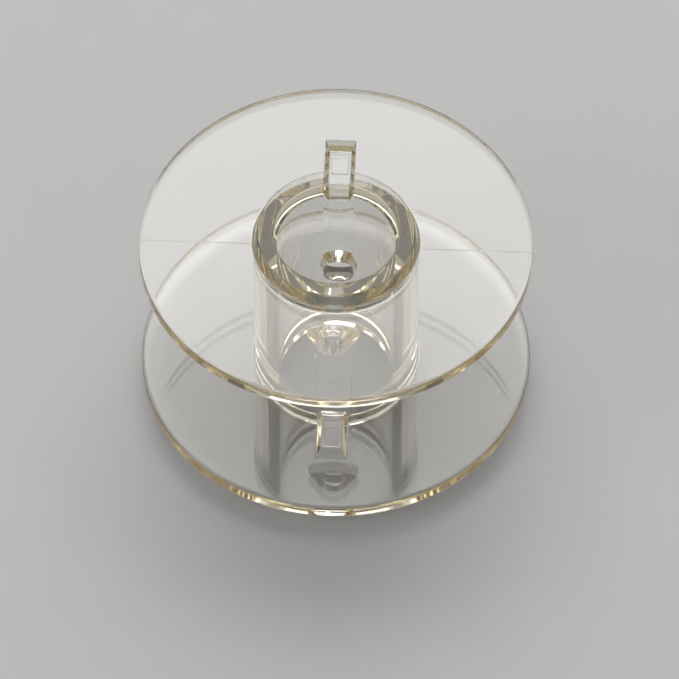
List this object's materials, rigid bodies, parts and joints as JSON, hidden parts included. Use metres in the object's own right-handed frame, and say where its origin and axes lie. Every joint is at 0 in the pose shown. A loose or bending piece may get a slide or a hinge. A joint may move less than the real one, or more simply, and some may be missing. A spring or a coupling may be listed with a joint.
{
  "type": "sewing machine bobbin",
  "caption": "Clear plastic spool with two flat round flanges on a hollow barrel, with raised collars, key slots and thread holes.",
  "frame": {"origin": "on the bore's axis, at the end face of the lower collar, which the bobbin stands on", "axes": "+Z along the bore, towards the upper flange; the upper key slot points to +Y and the lower key slot to -Y"},
  "size_m": [0.0205, 0.0204, 0.0117],
  "materials": {
    "clear_plastic": "polished, transparent, faintly yellow where it is seen edge on"
  },
  "bodies": {
    "root": {"barrel": "clear_plastic", "upper_flange": "clear_plastic", "lower_flange": "clear_plastic"}
  },
  "joints": []
}
